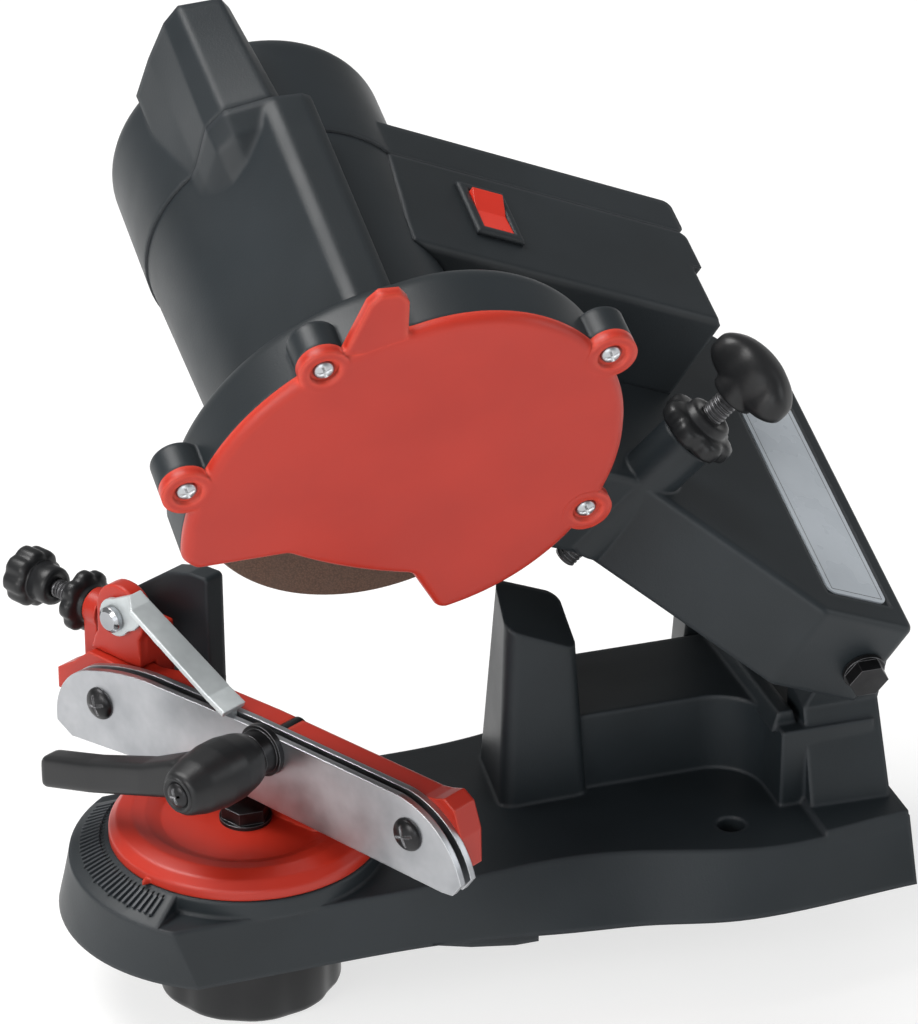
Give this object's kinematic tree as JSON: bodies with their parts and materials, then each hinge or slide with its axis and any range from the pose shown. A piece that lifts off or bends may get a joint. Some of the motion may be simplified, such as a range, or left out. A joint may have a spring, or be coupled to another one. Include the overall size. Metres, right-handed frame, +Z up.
{
  "type": "electric chainsaw sharpener",
  "caption": "Bench-top electric chainsaw sharpener: a hinged motor arm carries a guarded grinding wheel over a turning chain vise with a depth stop.",
  "frame": {"origin": "middle of the two bench-screw holes, on the bench plane under the base", "axes": "+Z up from the bench, +Y from the operator's side back to the arm hinge, +X the machine's right side, where the grinding wheel faces"},
  "size_m": [0.202, 0.2567, 0.2865],
  "materials": {
    "charcoal_plastic": "moulded, fine grain",
    "red_plastic": "moulded, satin",
    "zinc_steel": "zinc plated",
    "ground_steel": "machined",
    "black_steel": "black oxide",
    "abrasive": "bonded grit",
    "label_film": "blank label",
    "brass_parts": "turned",
    "black_rubber": "moulded"
  },
  "bodies": {
    "base": {"base_casting": "charcoal_plastic", "hinge_bolt": "black_steel", "hinge_nut": "black_steel", "return_spring": "zinc_steel"},
    "head": {"arm_housing": "charcoal_plastic", "arm_base_cover": "charcoal_plastic", "label_plate": "label_film", "switch_box": "charcoal_plastic", "switch_bezel": "charcoal_plastic", "switch_body": "charcoal_plastic", "depth_lock_nut": "charcoal_plastic", "guard_back": "charcoal_plastic", "guard_cover": "red_plastic", "guard_screws": "zinc_steel", "motor_housing": "charcoal_plastic", "rear_shell": "charcoal_plastic", "stator": "ground_steel", "brush_holders": "brass_parts", "shaft_bearings": "ground_steel", "shell_screws": "black_steel", "cord_gland": "black_rubber"},
    "rotor": {"rotor_core": "ground_steel", "rotor_shaft": "ground_steel", "commutator": "brass_parts", "motor_fan": "charcoal_plastic", "inner_flange": "ground_steel", "grinding_wheel": "abrasive", "outer_flange": "ground_steel", "arbor_nut": "zinc_steel"},
    "rocker": {"switch_rocker": "red_plastic"},
    "depth_rod_body": {"depth_rod": "black_steel"},
    "depth_knob_body": {"depth_knob": "charcoal_plastic"},
    "turntable": {"turntable_disc": "red_plastic", "turntable_bolt": "black_steel", "vise_bar": "red_plastic", "front_jaw_plate": "zinc_steel", "rear_jaw_plate": "zinc_steel", "jaw_screws": "black_steel", "jaw_spacers": "zinc_steel", "clamp_stud": "black_steel", "clamp_washer": "black_steel", "chip_shield": "charcoal_plastic"},
    "lock_knob_body": {"lock_knob": "charcoal_plastic"},
    "clamp_lever_body": {"clamp_lever": "charcoal_plastic", "lever_screw": "black_steel"},
    "pawl_slide_body": {"pawl_slider": "red_plastic", "pawl_pin": "zinc_steel"},
    "pawl_body": {"pawl": "zinc_steel"},
    "adjust_screw_body": {"adjust_screw": "zinc_steel", "adjust_knob": "charcoal_plastic"},
    "lock_nut_body": {"lock_nut_knob": "charcoal_plastic"}
  },
  "joints": [
    {"name": "head_tilt", "type": "hinge", "parent": "base", "child": "head", "pos_m": [-0.01174, 0.04109, 0.08457], "axis": [0.9511, 0, -0.309], "range_deg": [0, 15.2], "stiffness_Nm_per_rad": 4, "springref_deg": -51.57},
    {"name": "wheel_spin", "type": "hinge", "parent": "head", "child": "rotor", "pos_m": [0.03357, -0.111, 0.15928], "axis": [0.9511, 0, -0.309], "continuous": true},
    {"name": "switch_rock", "type": "hinge", "parent": "head", "child": "rocker", "pos_m": [-0.03569, -0.05448, 0.19693], "axis": [0.1355, -0.8988, 0.4169], "range_deg": [0, 16]},
    {"name": "depth_turn", "type": "hinge", "parent": "depth_rod_body", "child": "depth_knob_body", "pos_m": [0.0207, 0.01052, 0.16173], "axis": [0.2435, 0.6157, 0.7494], "range_deg": [0, 1441]},
    {"name": "depth_slide", "type": "slide", "parent": "head", "child": "depth_rod_body", "axis": [0.2435, 0.6157, 0.7494], "range_m": [0, 0.005]},
    {"name": "turntable_yaw", "type": "hinge", "parent": "base", "child": "turntable", "pos_m": [0.006, -0.144, 0], "axis": [0, 0, 1], "range_deg": [-65, 5]},
    {"name": "lock_knob_turn", "type": "hinge", "parent": "base", "child": "lock_knob_body", "pos_m": [0.006, -0.144, 0], "axis": [0, 0, 1], "range_deg": [0, 180]},
    {"name": "clamp_lever_turn", "type": "hinge", "parent": "turntable", "child": "clamp_lever_body", "pos_m": [0.03639, -0.17264, 0.06], "axis": [-0.5, 0.866, 0], "range_deg": [-8, 50]},
    {"name": "adjust_turn", "type": "hinge", "parent": "turntable", "child": "adjust_screw_body", "pos_m": [-0.07222, -0.16953, 0.0665], "axis": [0.866, 0.5, 0], "range_deg": [-721, 721]},
    {"name": "pawl_slide", "type": "slide", "parent": "turntable", "child": "pawl_slide_body", "axis": [0.866, 0.5, 0], "range_m": [-0.0025, 0.0025]},
    {"name": "pawl_flip", "type": "hinge", "parent": "pawl_slide_body", "child": "pawl_body", "pos_m": [-0.04766, -0.16805, 0.0755], "axis": [-0.5, 0.866, 0], "range_deg": [-75, 0]},
    {"name": "lock_nut_turn", "type": "hinge", "parent": "turntable", "child": "lock_nut_body", "pos_m": [-0.07222, -0.16953, 0.0665], "axis": [0.866, 0.5, 0], "range_deg": [0, 180]}
  ],
  "couplings": [
    {"joint": "depth_turn", "follows": "depth_slide", "rad_per_m": 5026.5},
    {"joint": "adjust_turn", "follows": "pawl_slide", "rad_per_m": 5026.5}
  ]
}
